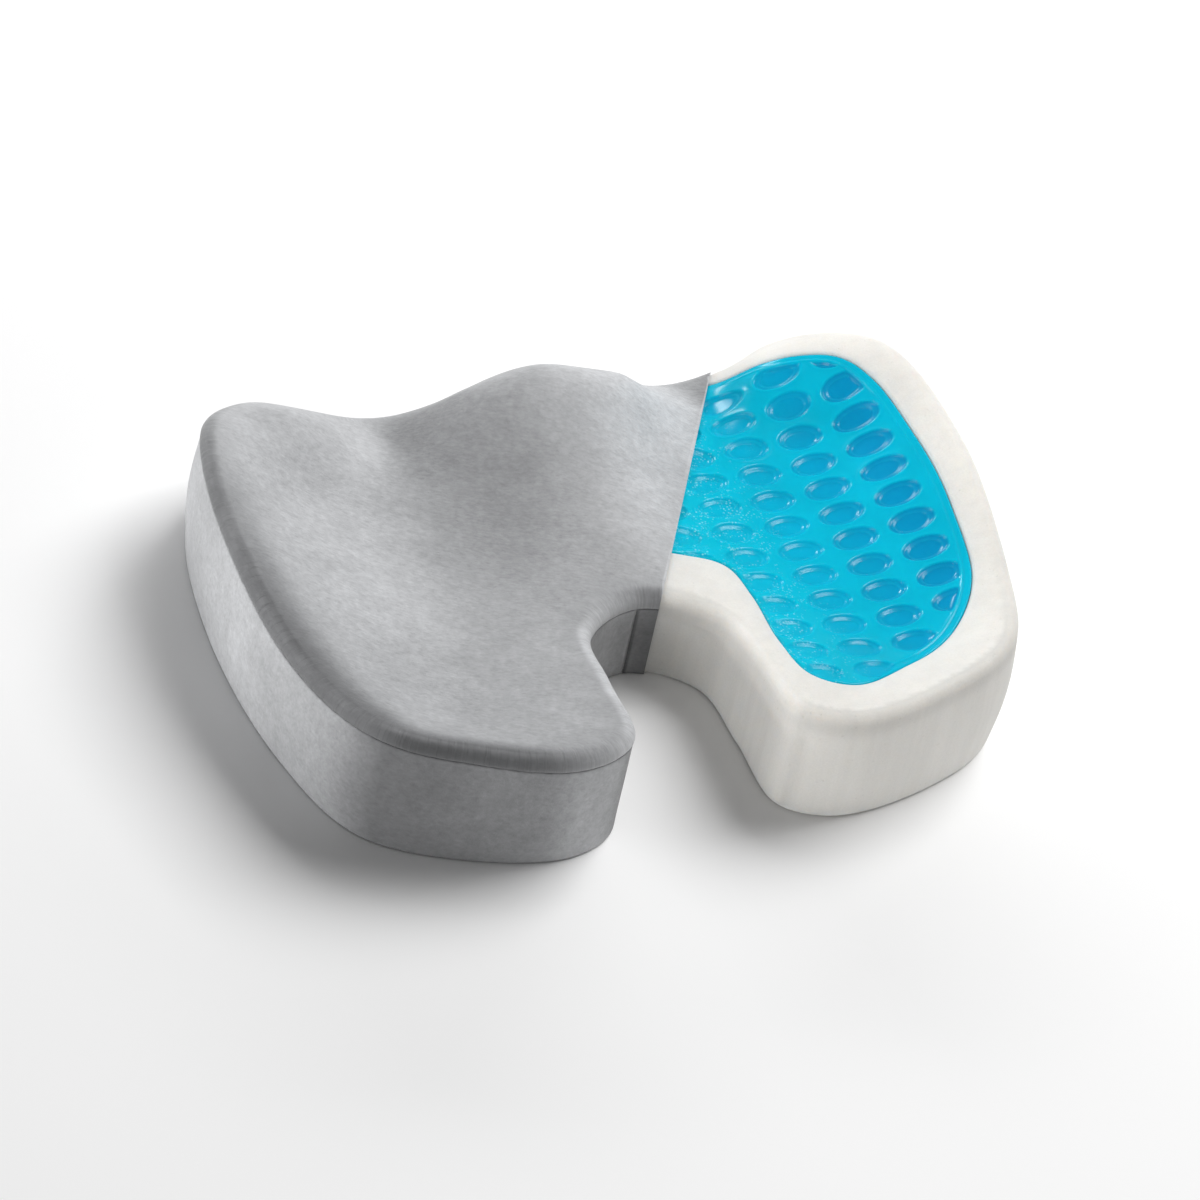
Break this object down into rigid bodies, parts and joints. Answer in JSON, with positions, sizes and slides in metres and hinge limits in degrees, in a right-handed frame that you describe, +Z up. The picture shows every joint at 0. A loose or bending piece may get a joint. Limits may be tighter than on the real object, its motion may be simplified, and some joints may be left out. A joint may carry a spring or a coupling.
{
  "type": "seat cushion",
  "caption": "Contoured coccyx seat cushion with a rear notch: foam block, inset gel pad and a zipped velour cover, partly cut away.",
  "frame": {"origin": "on the resting surface, under the middle of the cushion's bounding box", "axes": "+Z up from the resting surface; +X across the seat towards the bare side that shows the gel pad; +Y towards the front edge under the thighs, so the coccyx notch opens towards -Y"},
  "size_m": [0.4504, 0.3374, 0.0874],
  "materials": {
    "foam": "matte moulded polyurethane foam skin",
    "gel": "glossy translucent blue gel",
    "velour": "short-pile grey velour with brushed nap",
    "base_cloth": "dark woven cloth with silicone grip dots",
    "zip_tape": "grey woven tape",
    "zip_teeth": "satin nylon coil",
    "zip_metal": "nickel-plated, lightly worn"
  },
  "bodies": {
    "cushion": {"foam_core": "foam", "gel_pad": "gel", "cover_top_panel": "velour", "cover_band_left": "velour", "cover_band_right": "velour", "cover_base_panel": "base_cloth", "zip_strip_upper": "velour", "zip_strip_lower": "velour", "zip_tape_upper": "zip_tape", "zip_tape_lower": "zip_tape", "zip_teeth_upper": "zip_teeth", "zip_teeth_lower": "zip_teeth", "zip_stop_closed_end": "zip_metal", "zip_stop_open_end": "zip_metal"},
    "slider": {"zip_slider": "zip_metal"},
    "pull_tab": {"zip_pull_tab": "zip_metal"}
  },
  "joints": [
    {"name": "zip_slide", "type": "slide", "parent": "cushion", "child": "slider", "axis": [1, 0, 0], "range_m": [0, 0.216]},
    {"name": "tab_hinge", "type": "hinge", "parent": "slider", "child": "pull_tab", "pos_m": [-0.118, 0.167, 0.015], "axis": [0, 0, 1], "range_deg": [0, 175]}
  ]
}
